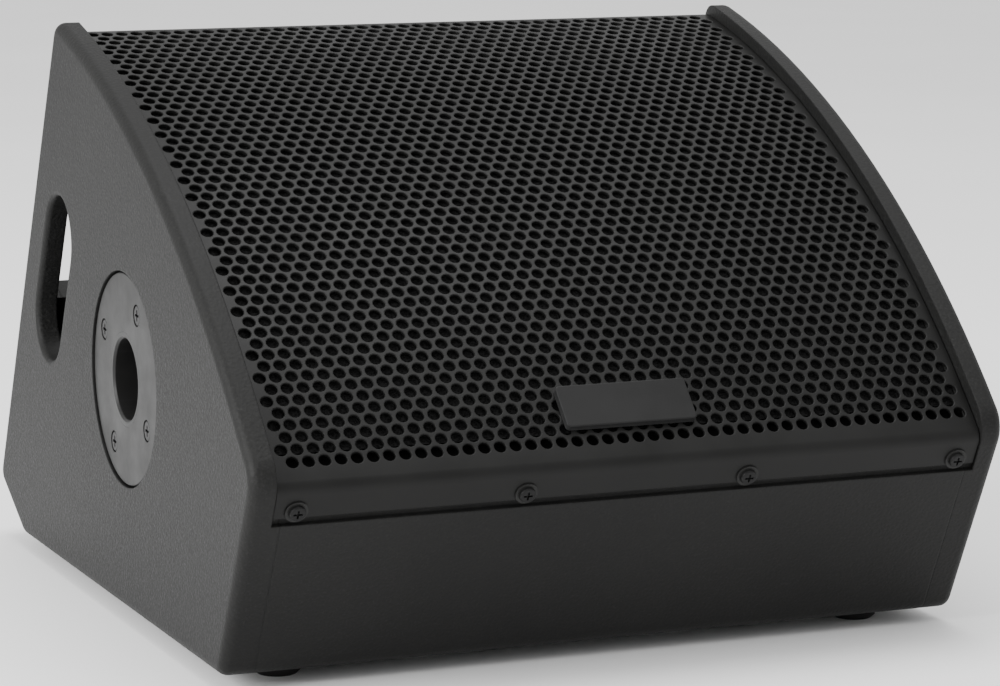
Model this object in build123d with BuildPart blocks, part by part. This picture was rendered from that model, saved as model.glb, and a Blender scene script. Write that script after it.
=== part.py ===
from build123d import *
from math import cos, radians, sin, sqrt
import os

# Compact stage monitor wedge: a painted plywood cabinet with a coaxial loudspeaker behind a curved
# perforated steel grille, a pole socket and a hand hole in the left side, and an amplifier module
# in the leaning back. Millimetres. X runs across the cabinet, -Y is the front, +Z is up. The origin
# is on the floor, under the middle of the whole cabinet.

# ---------------------------------------------------------------- driving dimensions
WIDTH = 346.0
FOOT_HEIGHT = 7.0

# Corners of the side outline, as (Y, Z), before they are rounded.
FRONT_FOOT = Vector(-150.5, FOOT_HEIGHT)
REAR_FOOT = Vector(153.4, FOOT_HEIGHT)
KNEE = Vector(195.0, FOOT_HEIGHT + 22.3)
TOP = Vector(84.8, FOOT_HEIGHT + 256.3)
KICK_TOP = Vector(-196.1, FOOT_HEIGHT + 91.2)
FRONT_RADIUS = 532.8
NOSE_RADIUS = 15.0
CORNER_RADIUS = 8.0
ROUNDOVER = 5.0

PLY = 15.0
BASE_PLY = 12.0
INSIDE = WIDTH / 2 - PLY
BAFFLE_DROP = 8.0

# The grille: steel sheet set below the side panels' edges, with a flange at each end.
SHEET = 1.5
GRILLE_DROP = 5.6
FLANGE_DROP = 0.9
FLANGE_END = 20.4
FLANGE_SLOT = 3.3
REAR_FLANGE_END = 26.0
BEND_RADIUS = 5.0
REAR_BEND_RADIUS = 3.0
REBATE = 4.0
SIDE_GAP = 0.5
REBATE_SPILL = 9.0
FOAM = 4.0
FOAM_GAP = 0.2
FOAM_SWEEP = 32.4
SEAT_DROP = GRILLE_DROP + SHEET
FLANGE_SEAT = FLANGE_DROP + SHEET
GRILLE_SCREW_X = (-152, -51, 51, 152)
GRILLE_SCREW_DOWN = 17.0
REAR_SCREW_DOWN = 16.0
WASHER = 0.8
WASHER_R = 5.0

BADGE_ANGLE = 135.3
BADGE_WIDTH = 60.0
BADGE_HEIGHT = 21.0
BADGE_DEPTH = 3.0

# Pole socket in the left side, for a 35 mm pole.
SOCKET_Y = -19.2
SOCKET_Z = FOOT_HEIGHT + 104.7
SOCKET_BORE_R = 18.15
SOCKET_TUBE_R = 21.15
SOCKET_PLATE_R = 47.5
SOCKET_PLATE = 3.0
SOCKET_SEAT = 3.9
SOCKET_DEPTH = 78.0
SOCKET_SCREW_R = 35.8
SOCKET_HEAD_SEAT = 1.6
SOCKET_HEAD_SEAT_R = 4.9
SOCKET_FLOOR = 2.0
SOCKET_CHAMFER = 1.0

# Hand hole in the left side, which opens through the back beside it.
HANDLE_DOWN = 113.0
HANDLE_IN = 45.5
HANDLE_LENGTH = 84.0
HANDLE_HEIGHT = 40.0
HANDLE_MOUTH = 56.0
HANDLE_MOUTH_DOWN = 105.5
HANDLE_MOUTH_LENGTH = 75.0
HANDLE_MOUTH_ROUNDING = 14.0
HANDLE_THINNING = 5.0
HANDLE_BOX_HALF = 46.0
HANDLE_BOX_DEPTH = 70.0
HANDLE_WALL = 5.0
SLOT_ROUNDING = 2.5

# Feet.
FOOT_R = 11.0
FOOT_X = 138.0
FRONT_FOOT_Y = -122.5
REAR_FOOT_Y = 127.0
FOOT_RECESS_R = 5.5
FOOT_RECESS = 3.6

# Coaxial driver, 10 inch. Heights are measured outwards from the baffle's face.
DRIVER_UP = 163.0
FRAME_R = 130.0
CUTOUT_R = 116.0
FRAME_SCREW_R = 123.0
FRAME_FLANGE = 4.0
GASKET_INNER_R = 109.0
GASKET = 1.2
PORT_X = 126.0
PORT_DOWN = 118.0
PORT_R = 24.0
PORT_WALL = 2.0
PORT_LENGTH = 45.0

# Amplifier module. Places on it are (X from its middle, distance down the back from the top edge).
AMP_X = 40.0
AMP_DOWN = 130.0
AMP_WIDTH = 210.0
AMP_HEIGHT = 180.0
AMP_LIP = 10.0
AMP_SEAT = 9.7
AMP_PLATE = 2.5
KNOB_SPOTS = ((-80, 128), (-54, 128), (-28, 128), (-2, 128))
SOCKET_SPOTS = ((-76, 176), (-44, 176), (-12, 176))
BUTTON_SPOT = (22, 128)
LIGHT_SPOTS = ((42, 128), (54, 128), (66, 128))
INLET_SPOT = (38, 178)
ROCKER_SPOT = (82, 178)
SINK_DOWN = 78.0
SINK_WIDTH = 168.0
SINK_LENGTH = 56.0
SINK_BASE = 2.5
FIN_COUNT = 17
FIN_THICKNESS = 2.0
FIN_HEIGHT = 6.5
KNOB_R = 8.0
KNOB_SHAFT_R = 3.0
BUSH_R = 4.5
RUNNING_GAP = 0.05

SCREW_SHANK_R = 2.0

# ---------------------------------------------------------------- outline helpers
# The outline's edges run anticlockwise, so the cabinet is always on their left.
KICK = (KICK_TOP, FRONT_FOOT)
BASE = (FRONT_FOOT, REAR_FOOT)
CHAMFER = (REAR_FOOT, KNEE)
REAR = (KNEE, TOP)
FRONT = (TOP, KICK_TOP)
REAR_LENGTH = (TOP - KNEE).length
FRONT_LENGTH = (TOP - KICK_TOP).length
REAR_ANGLE = (TOP - KNEE).get_angle(Vector(1, 0, 0))


def point(edge, along, inset):
    """The (Y, Z) point that far along an edge and that far into the cabinet."""
    step = (edge[1] - edge[0]).normalized()
    return edge[0] + step * along + Vector(-step.Y, step.X) * inset


def corner(edge_a, inset_a, edge_b, inset_b):
    """Where two edges cross, each moved into the cabinet by its own inset."""
    start_a = point(edge_a, 0, inset_a)
    step_a = edge_a[1] - edge_a[0]
    step_b = edge_b[1] - edge_b[0]
    gap = point(edge_b, 0, inset_b) - start_a
    turn = step_a.X * step_b.Y - step_a.Y * step_b.X
    return start_a + step_a * ((gap.X * step_b.Y - gap.Y * step_b.X) / turn)


def meet_curve(radius, edge, inset, way):
    """Where an inset edge, followed along (way 1) or back (way -1), meets the circle about CENTRE."""
    start = point(edge, 0, inset)
    step = (edge[1] - edge[0]).normalized() * way
    to_centre = CENTRE - start
    along = to_centre.dot(step)
    return start + step * (along + sqrt(radius**2 - to_centre.length**2 + along**2))


def face_plane(edge, along, inset):
    """Plane flush with an edge's face: local x is X, local z points out of the cabinet."""
    start = point(edge, along, inset)
    out = point(edge, along, inset - 1) - start
    return Plane(origin=(0, start.X, start.Y), x_dir=(1, 0, 0), z_dir=(0, out.X, out.Y))


def shape(*corners):
    """Straight-sided face through (Y, Z) corners."""
    with BuildSketch() as face:
        with BuildLine():
            Polyline(*[(spot.X, spot.Y) for spot in corners], close=True)
        make_face()
    return face.sketch


def band(edge, start, end, outer, inner):
    """Face along an edge, from start to end along it and from the outer to the inner inset."""
    return shape(
        point(edge, start, outer),
        point(edge, end, outer),
        point(edge, end, inner),
        point(edge, start, inner),
    )


def ring_spots(radius, count, first):
    """Places spread evenly round a circle, the first at the given angle."""
    angles = [radians(first + 360 * turn / count) for turn in range(count)]
    return [(radius * cos(angle), radius * sin(angle)) for angle in angles]


def save(builder, label):
    """Name a finished piece and write it to its own file."""
    builder.part.label = label
    export_step(builder.part, f"parts/{label}.step")


CENTRE = point(FRONT, FRONT_LENGTH / 2, sqrt(FRONT_RADIUS**2 - (FRONT_LENGTH / 2) ** 2))
GRILLE_MIDDLE_R = FRONT_RADIUS - GRILLE_DROP - SHEET / 2
SOCKET_FACE = Plane(origin=(-WIDTH / 2, SOCKET_Y, SOCKET_Z), x_dir=(0, 1, 0), z_dir=(-1, 0, 0))
KICK_FACE = face_plane(KICK, 0, 0)
FLANGE_FACE = face_plane(KICK, 0, FLANGE_DROP)
REAR_FACE = face_plane(REAR, REAR_LENGTH, FLANGE_SEAT)
REAR_FLANGE_FACE = face_plane(REAR, REAR_LENGTH, FLANGE_DROP)
AMP_INSET = FLANGE_SEAT + AMP_SEAT - AMP_PLATE
AMP_FACE = face_plane(REAR, REAR_LENGTH, AMP_INSET)
BAFFLE_FACE = face_plane(FRONT, FRONT_LENGTH - DRIVER_UP, BAFFLE_DROP)
DRIVER_AXIS = Axis(BAFFLE_FACE.origin, BAFFLE_FACE.z_dir)
DRIVER_SECTION = Plane(origin=BAFFLE_FACE.origin, x_dir=(1, 0, 0), z_dir=-BAFFLE_FACE.y_dir)

os.makedirs("parts", exist_ok=True)


def amp_spot(spot):
    """A place on the amplifier module, in its plane's own X and Y."""
    return (AMP_X + spot[0], spot[1])


def screws(plane, spots, head_r, head, length, shank_r=SCREW_SHANK_R):
    """Pan-head screws with cross recesses, their heads standing on a plane."""
    with BuildPart() as group:
        with BuildSketch(plane):
            with Locations(*spots):
                Circle(head_r)
        extrude(amount=head)
        fillet(faces().group_by(Axis(plane.origin, plane.z_dir))[-1].edges(), head * 0.4)
        with BuildSketch(plane):
            with Locations(*spots):
                Circle(shank_r)
        extrude(amount=-length)
        with BuildSketch(plane.offset(head)):
            with Locations(*spots):
                Rectangle(head_r * 1.1, head_r * 0.24)
                Rectangle(head_r * 0.24, head_r * 1.1)
        extrude(amount=-head * 0.6, mode=Mode.SUBTRACT)
    return group


def turned(section, axis, profile):
    """A piece turned about an axis from its (radius, height) profile."""
    with BuildPart() as piece:
        with BuildSketch(section):
            Polygon(*profile, align=None)
        revolve(axis=axis)
    return piece


# ---------------------------------------------------------------- cabinet
def grille_rebate():
    """Outline of the rebate that holds the grille's side edges, its flanges and the slot below them."""
    with BuildSketch() as face:
        with Locations((CENTRE.X, CENTRE.Y)):
            Circle(FRONT_RADIUS + NOSE_RADIUS)
            Circle(FRONT_RADIUS - SEAT_DROP, mode=Mode.SUBTRACT)
        add(band(KICK, -REBATE_SPILL, FLANGE_END + FLANGE_SLOT, -REBATE_SPILL, FLANGE_SEAT))
        add(band(REAR, REAR_LENGTH - REAR_FLANGE_END - 1, REAR_LENGTH, -REBATE_SPILL, FLANGE_SEAT))
        for edge, way, bend_radius in ((KICK, -1, BEND_RADIUS), (REAR, 1, REAR_BEND_RADIUS)):
            bend = meet_curve(FRONT_RADIUS - SEAT_DROP, edge, FLANGE_SEAT, way)
            fillet(vertices().sort_by_distance((bend.X, bend.Y, 0))[0], bend_radius)
    return face.sketch


def side_panel(side):
    """A plywood side, rounded over, rebated for the grille and, on the left, cut for its fittings."""
    outer = Plane.YZ.offset(side * WIDTH / 2)
    with BuildPart() as panel:
        with BuildSketch(outer):
            with BuildLine():
                Polyline(*[(spot.X, spot.Y) for spot in (KICK_TOP, FRONT_FOOT, REAR_FOOT, KNEE, TOP)])
                RadiusArc((TOP.X, TOP.Y), (KICK_TOP.X, KICK_TOP.Y), -FRONT_RADIUS)
            make_face()
            fillet(vertices().sort_by(Axis.X)[0], NOSE_RADIUS)
            fillet(vertices().sort_by(Axis.Y)[-1], CORNER_RADIUS)
            fillet(vertices().sort_by(Axis.X)[-1], CORNER_RADIUS)
            fillet(vertices().group_by(Axis.Y)[0], CORNER_RADIUS)
        extrude(amount=-side * PLY)
        fillet(faces().sort_by(Axis.X)[-1 if side > 0 else 0].edges(), ROUNDOVER)
        with BuildSketch(Plane.YZ.offset(side * INSIDE)):
            add(grille_rebate())
        extrude(amount=side * REBATE, mode=Mode.SUBTRACT)
        if side < 0:
            with BuildSketch(SOCKET_FACE):
                Circle(SOCKET_PLATE_R + 0.8)
            extrude(amount=-SOCKET_SEAT, mode=Mode.SUBTRACT)
            with BuildSketch(outer):
                with Locations((SOCKET_Y, SOCKET_Z)):
                    Circle(SOCKET_TUBE_R + 0.5)
                    with PolarLocations(SOCKET_SCREW_R, 4, 30):
                        Circle(SCREW_SHANK_R)
            extrude(amount=PLY, mode=Mode.SUBTRACT)
            slot = point(REAR, REAR_LENGTH - HANDLE_DOWN, HANDLE_IN)
            with BuildSketch(outer):
                with Locations(Location((slot.X, slot.Y, 0), (0, 0, REAR_ANGLE))):
                    SlotOverall(HANDLE_LENGTH, HANDLE_HEIGHT)
            extrude(amount=PLY, mode=Mode.SUBTRACT)
            fillet(edges(Select.LAST).group_by(Axis.X)[0], SLOT_ROUNDING)
            # Inside, the panel is thinned behind the hand hole and on to its mouth in the back.
            with BuildSketch(Plane.YZ.offset(-INSIDE)):
                add(band(
                    REAR,
                    REAR_LENGTH - HANDLE_DOWN - HANDLE_BOX_HALF,
                    REAR_LENGTH - HANDLE_DOWN + HANDLE_BOX_HALF,
                    FLANGE_SEAT + PLY,
                    HANDLE_BOX_DEPTH,
                ))
                add(band(
                    REAR,
                    REAR_LENGTH - HANDLE_MOUTH_DOWN - HANDLE_MOUTH_LENGTH / 2,
                    REAR_LENGTH - HANDLE_MOUTH_DOWN + HANDLE_MOUTH_LENGTH / 2,
                    -1,
                    HANDLE_BOX_DEPTH,
                ))
            extrude(amount=-HANDLE_THINNING, mode=Mode.SUBTRACT)
    return panel


save(side_panel(-1), "side_panel_left")
save(side_panel(1), "side_panel_right")

with BuildPart() as kick_panel:
    with BuildSketch(Plane.YZ):
        add(shape(
            corner(KICK, 0, BASE, 0),
            corner(KICK, PLY, BASE, 0),
            corner(KICK, PLY, FRONT, BAFFLE_DROP),
            corner(KICK, 0, FRONT, BAFFLE_DROP),
        ))
        fillet(vertices().sort_by(Axis.Y)[:2].sort_by(Axis.X)[0], CORNER_RADIUS)
        add(
            band(KICK, -REBATE_SPILL, FLANGE_END + FLANGE_SLOT, -1, FLANGE_SEAT),
            mode=Mode.SUBTRACT,
        )
        fillet(vertices().sort_by(Axis.X)[0], BEND_RADIUS)
    extrude(amount=INSIDE, both=True)
    with BuildSketch(KICK_FACE):
        with Locations(*[(x, -GRILLE_SCREW_DOWN) for x in GRILLE_SCREW_X]):
            Circle(SCREW_SHANK_R)
    extrude(amount=-PLY, mode=Mode.SUBTRACT)
save(kick_panel, "kick_panel")

with BuildPart() as bottom_panel:
    with BuildSketch(Plane.YZ):
        add(shape(
            corner(KICK, PLY, BASE, 0),
            corner(CHAMFER, FLANGE_SEAT, BASE, 0),
            corner(CHAMFER, FLANGE_SEAT, BASE, BASE_PLY),
            corner(KICK, PLY, BASE, BASE_PLY),
        ))
    extrude(amount=INSIDE, both=True)
    with BuildSketch(Plane.XY.offset(FOOT_HEIGHT)):
        with Locations(*[(x, y) for x in (-FOOT_X, FOOT_X) for y in (FRONT_FOOT_Y, REAR_FOOT_Y)]):
            Circle(SCREW_SHANK_R)
    extrude(amount=BASE_PLY, mode=Mode.SUBTRACT)
save(bottom_panel, "bottom_panel")

with BuildPart() as chamfer_panel:
    with BuildSketch(Plane.YZ):
        add(shape(
            corner(CHAMFER, FLANGE_SEAT, BASE, BASE_PLY),
            corner(CHAMFER, FLANGE_SEAT, REAR, FLANGE_SEAT),
            corner(CHAMFER, FLANGE_SEAT + PLY, REAR, FLANGE_SEAT),
            corner(CHAMFER, FLANGE_SEAT + PLY, BASE, BASE_PLY),
        ))
    extrude(amount=INSIDE, both=True)
save(chamfer_panel, "chamfer_panel")

with BuildPart() as rear_panel:
    with BuildSketch(Plane.YZ):
        add(shape(
            corner(REAR, FLANGE_SEAT, CHAMFER, FLANGE_SEAT + PLY),
            corner(REAR, FLANGE_SEAT, FRONT, BAFFLE_DROP),
            corner(REAR, FLANGE_SEAT + PLY, FRONT, BAFFLE_DROP),
            corner(REAR, FLANGE_SEAT + PLY, CHAMFER, FLANGE_SEAT + PLY),
        ))
        fillet(vertices().sort_by(Axis.Y)[-1], REAR_BEND_RADIUS)
    extrude(amount=INSIDE, both=True)
    # Recess and opening for the amplifier module, and the hand hole's way out beside the left side.
    with BuildSketch(REAR_FACE):
        with Locations((AMP_X, AMP_DOWN)):
            Rectangle(AMP_WIDTH + 1, AMP_HEIGHT + 1)
    extrude(amount=-AMP_SEAT, mode=Mode.SUBTRACT)
    with BuildSketch(REAR_FACE):
        with Locations((AMP_X, AMP_DOWN)):
            Rectangle(AMP_WIDTH - 2 * AMP_LIP, AMP_HEIGHT - 2 * AMP_LIP)
        with Locations((HANDLE_MOUTH / 2 - INSIDE - HANDLE_HEIGHT / 2, HANDLE_MOUTH_DOWN)):
            RectangleRounded(HANDLE_MOUTH + HANDLE_HEIGHT, HANDLE_MOUTH_LENGTH, HANDLE_MOUTH_ROUNDING)
        with Locations(*[(x, REAR_SCREW_DOWN) for x in GRILLE_SCREW_X]):
            Circle(SCREW_SHANK_R)
        with Locations((AMP_X, AMP_DOWN)):
            with GridLocations(AMP_WIDTH - AMP_LIP, (AMP_HEIGHT - AMP_LIP) / 2, 2, 3):
                Circle(SCREW_SHANK_R)
    extrude(amount=-PLY, mode=Mode.SUBTRACT)
save(rear_panel, "rear_panel")

with BuildPart() as baffle:
    with BuildSketch(Plane.YZ):
        add(shape(
            corner(FRONT, BAFFLE_DROP, KICK, PLY),
            corner(FRONT, BAFFLE_DROP + PLY, KICK, PLY),
            corner(FRONT, BAFFLE_DROP + PLY, REAR, FLANGE_SEAT + PLY),
            corner(FRONT, BAFFLE_DROP, REAR, FLANGE_SEAT + PLY),
        ))
    extrude(amount=INSIDE, both=True)
    with BuildSketch(BAFFLE_FACE):
        Circle(CUTOUT_R)
        with Locations(*ring_spots(FRAME_SCREW_R, 8, 22.5)):
            Circle(SCREW_SHANK_R)
        with Locations((-PORT_X, -PORT_DOWN), (PORT_X, -PORT_DOWN)):
            Circle(PORT_R)
    extrude(amount=-PLY, mode=Mode.SUBTRACT)
save(baffle, "baffle")

with BuildPart() as ports:
    with BuildSketch(BAFFLE_FACE):
        with Locations((-PORT_X, -PORT_DOWN), (PORT_X, -PORT_DOWN)):
            Circle(PORT_R)
            Circle(PORT_R - PORT_WALL, mode=Mode.SUBTRACT)
    extrude(amount=-PORT_LENGTH)
save(ports, "ports")

with BuildPart() as handle_box:
    with BuildSketch(Plane.YZ.offset(-INSIDE)):
        add(band(
            REAR,
            REAR_LENGTH - HANDLE_DOWN - HANDLE_BOX_HALF - HANDLE_WALL,
            REAR_LENGTH - HANDLE_DOWN + HANDLE_BOX_HALF + HANDLE_WALL,
            FLANGE_SEAT + PLY,
            HANDLE_BOX_DEPTH + HANDLE_WALL,
        ))
    extrude(amount=HANDLE_MOUTH + HANDLE_WALL)
    with BuildSketch(Plane.YZ.offset(-INSIDE)):
        add(band(
            REAR,
            REAR_LENGTH - HANDLE_DOWN - HANDLE_BOX_HALF,
            REAR_LENGTH - HANDLE_DOWN + HANDLE_BOX_HALF,
            FLANGE_SEAT + PLY,
            HANDLE_BOX_DEPTH,
        ))
    extrude(amount=HANDLE_MOUTH, mode=Mode.SUBTRACT)
save(handle_box, "handle_box")

# ---------------------------------------------------------------- grille, foam and badge
with BuildPart() as grille:
    with BuildSketch(Plane.YZ):
        with BuildLine() as sheet_line:
            flange_middle = FLANGE_DROP + SHEET / 2
            flange_end = point(KICK, FLANGE_END, flange_middle)
            front_bend = meet_curve(GRILLE_MIDDLE_R, KICK, flange_middle, -1)
            rear_bend = meet_curve(GRILLE_MIDDLE_R, REAR, flange_middle, 1)
            rear_end = point(REAR, REAR_LENGTH - REAR_FLANGE_END, flange_middle)
            Line((flange_end.X, flange_end.Y), (front_bend.X, front_bend.Y))
            RadiusArc((front_bend.X, front_bend.Y), (rear_bend.X, rear_bend.Y), GRILLE_MIDDLE_R)
            Line((rear_bend.X, rear_bend.Y), (rear_end.X, rear_end.Y))
            fillet(vertices().sort_by(Axis.X)[0], BEND_RADIUS)
            fillet(vertices().sort_by(Axis.Y)[-1], REAR_BEND_RADIUS)
        trace(line_width=SHEET)
    extrude(amount=INSIDE + REBATE - SIDE_GAP, both=True)
    for plane, down in ((FLANGE_FACE, -GRILLE_SCREW_DOWN), (REAR_FLANGE_FACE, REAR_SCREW_DOWN)):
        with BuildSketch(plane):
            with Locations(*[(x, down) for x in GRILLE_SCREW_X]):
                Circle(SCREW_SHANK_R)
        extrude(amount=-2 * SHEET, mode=Mode.SUBTRACT)
save(grille, "grille")

with BuildPart() as grille_washers:
    for plane, down in ((FLANGE_FACE, -GRILLE_SCREW_DOWN), (REAR_FLANGE_FACE, REAR_SCREW_DOWN)):
        with BuildSketch(plane):
            with Locations(*[(x, down) for x in GRILLE_SCREW_X]):
                Circle(WASHER_R)
                Circle(SCREW_SHANK_R, mode=Mode.SUBTRACT)
        extrude(amount=WASHER)
save(grille_washers, "grille_washers")

front_spots = [(x, -GRILLE_SCREW_DOWN) for x in GRILLE_SCREW_X]
rear_spots = [(x, REAR_SCREW_DOWN) for x in GRILLE_SCREW_X]
with BuildPart() as grille_screws:
    add(screws(FLANGE_FACE.offset(WASHER), front_spots, 3.6, 1.8, 14).part)
    add(screws(REAR_FLANGE_FACE.offset(WASHER), rear_spots, 3.6, 1.8, 14).part)
save(grille_screws, "grille_screws")

with BuildPart() as grille_foam:
    with BuildSketch(Plane.YZ):
        with BuildLine():
            middle_angle = (point(FRONT, FRONT_LENGTH / 2, 0) - CENTRE).get_angle(Vector(1, 0, 0))
            foam_radius = FRONT_RADIUS - SEAT_DROP - FOAM_GAP - FOAM / 2
            CenterArc((CENTRE.X, CENTRE.Y), foam_radius, middle_angle - FOAM_SWEEP / 2, FOAM_SWEEP)
        trace(line_width=FOAM)
    extrude(amount=INSIDE - SIDE_GAP, both=True)
save(grille_foam, "grille_foam")

badge_out = Vector(cos(radians(BADGE_ANGLE)), sin(radians(BADGE_ANGLE)))
badge_spot = CENTRE + badge_out * (FRONT_RADIUS - GRILLE_DROP)
BADGE_FACE = Plane(
    origin=(0, badge_spot.X, badge_spot.Y), x_dir=(1, 0, 0), z_dir=(0, badge_out.X, badge_out.Y)
)
with BuildPart() as badge:
    with BuildSketch(BADGE_FACE):
        RectangleRounded(BADGE_WIDTH, BADGE_HEIGHT, 2)
    extrude(amount=BADGE_DEPTH)
    fillet(faces().sort_by(Axis(BADGE_FACE.origin, BADGE_FACE.z_dir))[-1].edges(), 0.6)
save(badge, "badge")

# ---------------------------------------------------------------- pole socket
plate_face = SOCKET_FACE.offset(SOCKET_PLATE - SOCKET_SEAT)
socket_screw_spots = ring_spots(SOCKET_SCREW_R, 4, 60)
with BuildPart() as pole_socket_plate:
    with BuildSketch(plate_face):
        Circle(SOCKET_PLATE_R)
    extrude(amount=-SOCKET_PLATE)
    fillet(faces().sort_by(Axis.X)[0].edges(), 0.8)
    with BuildSketch(plate_face):
        Circle(SOCKET_TUBE_R)
        with Locations(*socket_screw_spots):
            Circle(SCREW_SHANK_R)
    extrude(amount=-SOCKET_PLATE, mode=Mode.SUBTRACT)
    with BuildSketch(plate_face):
        with Locations(*socket_screw_spots):
            Circle(SOCKET_HEAD_SEAT_R)
    extrude(amount=-SOCKET_HEAD_SEAT, mode=Mode.SUBTRACT)
save(pole_socket_plate, "pole_socket_plate")

with BuildPart() as pole_socket_cup:
    with BuildSketch(plate_face):
        Circle(SOCKET_TUBE_R)
    extrude(amount=-SOCKET_DEPTH)
    with BuildSketch(plate_face):
        Circle(SOCKET_BORE_R)
    extrude(amount=-(SOCKET_DEPTH - SOCKET_FLOOR), mode=Mode.SUBTRACT)
    chamfer(edges().group_by(Axis.X)[0].sort_by(SortBy.LENGTH)[0], SOCKET_CHAMFER)
save(pole_socket_cup, "pole_socket_cup")

socket_head_face = plate_face.offset(-SOCKET_HEAD_SEAT)
save(screws(socket_head_face, socket_screw_spots, 4.5, 1.4, 12), "pole_socket_screws")

# ---------------------------------------------------------------- feet
foot_profile = (
    (0, FOOT_RECESS),
    (FOOT_RECESS_R, FOOT_RECESS),
    (FOOT_RECESS_R, 0),
    (FOOT_R - 2.5, 0),
    (FOOT_R - 1, 1.5),
    (FOOT_R, FOOT_HEIGHT),
    (0, FOOT_HEIGHT),
)
for x, x_name in ((-FOOT_X, "left"), (FOOT_X, "right")):
    for y, y_name in ((FRONT_FOOT_Y, "front"), (REAR_FOOT_Y, "rear")):
        section = Plane(origin=(x, y, 0), x_dir=(1, 0, 0), z_dir=(0, -1, 0))
        with BuildPart() as foot:
            with BuildSketch(section):
                Polygon(*foot_profile, align=None)
            revolve(axis=Axis((x, y, 0), (0, 0, 1)))
            with BuildSketch(Plane.XY):
                with Locations((x, y)):
                    Circle(SCREW_SHANK_R)
            extrude(amount=FOOT_HEIGHT, mode=Mode.SUBTRACT)
        save(foot, f"foot_{y_name}_{x_name}")

foot_screw_face = Plane(origin=(0, 0, FOOT_RECESS), x_dir=(1, 0, 0), z_dir=(0, 0, -1))
foot_spots = [(x, -y) for x in (-FOOT_X, FOOT_X) for y in (FRONT_FOOT_Y, REAR_FOOT_Y)]
save(screws(foot_screw_face, foot_spots, 4.5, 2.0, 13), "foot_screws")

# ---------------------------------------------------------------- coaxial driver
with BuildPart() as driver_frame:
    with BuildSketch(DRIVER_SECTION):
        Polygon(
            (FRAME_R, 0),
            (FRAME_R, FRAME_FLANGE),
            (108, FRAME_FLANGE),
            (108, -3),
            (104, -20),
            (78, -47),
            (68, -47),
            (68, -50),
            (72, -53),
            (66, -56),
            (50, -56),
            (50, -60),
            (77, -60),
            (80, -52),
            (109, -22),
            (114, 0),
            align=None,
        )
    revolve(axis=DRIVER_AXIS)
    with BuildSketch(BAFFLE_FACE):
        with Locations(*ring_spots(FRAME_SCREW_R, 8, 22.5)):
            Circle(SCREW_SHANK_R)
    extrude(amount=FRAME_FLANGE, mode=Mode.SUBTRACT)
    # Six windows between the frame's spokes.
    with BuildSketch(BAFFLE_FACE.offset(-24)):
        with PolarLocations(93, 6):
            Rectangle(50, 62)
    extrude(amount=-22, mode=Mode.SUBTRACT)
save(driver_frame, "driver_frame")

# Turned pieces of the driver, as (radius, height) profiles.
DRIVER_RINGS = {
    "driver_top_plate": ((40, -60), (70, -60), (70, -68), (40, -68)),
    "driver_magnet": ((46, -68), (75, -68), (75, -88), (46, -88)),
    "driver_back_plate": ((12, -88), (70, -88), (70, -96), (12, -96)),
    "driver_pole": ((12, -60), (36, -60), (36, -88), (12, -88)),
    "driver_cone": ((38.7, -41), (90, -1), (93, 1), (93, 2), (89, 0.5), (38.7, -39)),
    "voice_coil": ((37.4, -36), (38.6, -36), (38.6, -72), (37.4, -72)),
    "driver_spider": (
        (38.7, -49),
        (50, -47.5),
        (60, -49),
        (67.8, -48),
        (67.8, -48.8),
        (60, -49.8),
        (50, -48.3),
        (38.7, -49.8),
    ),
    "horn": (
        (12, -60),
        (15, -60),
        (18, -45),
        (24, -28),
        (35, -12),
        (33, -12),
        (22, -29),
        (16, -45),
        (12, -58),
    ),
}
for name, profile in DRIVER_RINGS.items():
    save(turned(DRIVER_SECTION, DRIVER_AXIS, profile), name)

with BuildPart() as driver_gasket:
    with BuildSketch(BAFFLE_FACE.offset(FRAME_FLANGE)):
        Circle(FRAME_R - 1)
        Circle(GASKET_INNER_R, mode=Mode.SUBTRACT)
        with Locations(*ring_spots(FRAME_SCREW_R, 8, 22.5)):
            Circle(SCREW_SHANK_R, mode=Mode.SUBTRACT)
    extrude(amount=GASKET)
save(driver_gasket, "driver_gasket")

with BuildPart() as driver_surround:
    with BuildSketch(DRIVER_SECTION):
        with Locations((100.4, 2)):
            Circle(7.2)
            Circle(6.2, mode=Mode.SUBTRACT)
            with Locations((0, -5)):
                Rectangle(20, 10, mode=Mode.SUBTRACT)
    revolve(axis=DRIVER_AXIS)
save(driver_surround, "driver_surround")

with BuildPart() as compression_driver:
    with BuildSketch(BAFFLE_FACE.offset(-96)):
        Circle(40)
    extrude(amount=-38)
    fillet(faces().sort_by(DRIVER_AXIS)[0].edges(), 5)
save(compression_driver, "compression_driver")

frame_spots = ring_spots(FRAME_SCREW_R, 8, 22.5)
save(screws(BAFFLE_FACE.offset(FRAME_FLANGE + GASKET), frame_spots, 4.2, 2.4, 24), "driver_screws")

with BuildPart() as driver_nuts:
    with BuildSketch(BAFFLE_FACE.offset(-PLY)):
        with Locations(*frame_spots):
            Circle(6)
            Circle(SCREW_SHANK_R, mode=Mode.SUBTRACT)
    extrude(amount=-3)
save(driver_nuts, "driver_nuts")

# ---------------------------------------------------------------- amplifier module
KNOB_PLACES = [amp_spot(spot) for spot in KNOB_SPOTS]
JACK_PLACES = [amp_spot(spot) for spot in SOCKET_SPOTS]
LIGHT_PLACES = [amp_spot(spot) for spot in LIGHT_SPOTS]
BUTTON_PLACE = amp_spot(BUTTON_SPOT)
INLET_PLACE = amp_spot(INLET_SPOT)
ROCKER_PLACE = amp_spot(ROCKER_SPOT)
JACK_BODY_R = 12.0
JACK_BORE_R = 9.6
JACK_DEPTH = 15.0
JACK_FLANGE = 2.0
LATCH_UP = 12.6
LATCH_WIDTH = 7.0
LATCH_HEIGHT = 3.0
LATCH_GAP = 0.2
PIN_HEIGHT = 6.0
JACK_SCREW_R = 1.4
AMP_SCREW_GRID = (AMP_WIDTH - AMP_LIP, (AMP_HEIGHT - AMP_LIP) / 2)

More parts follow.
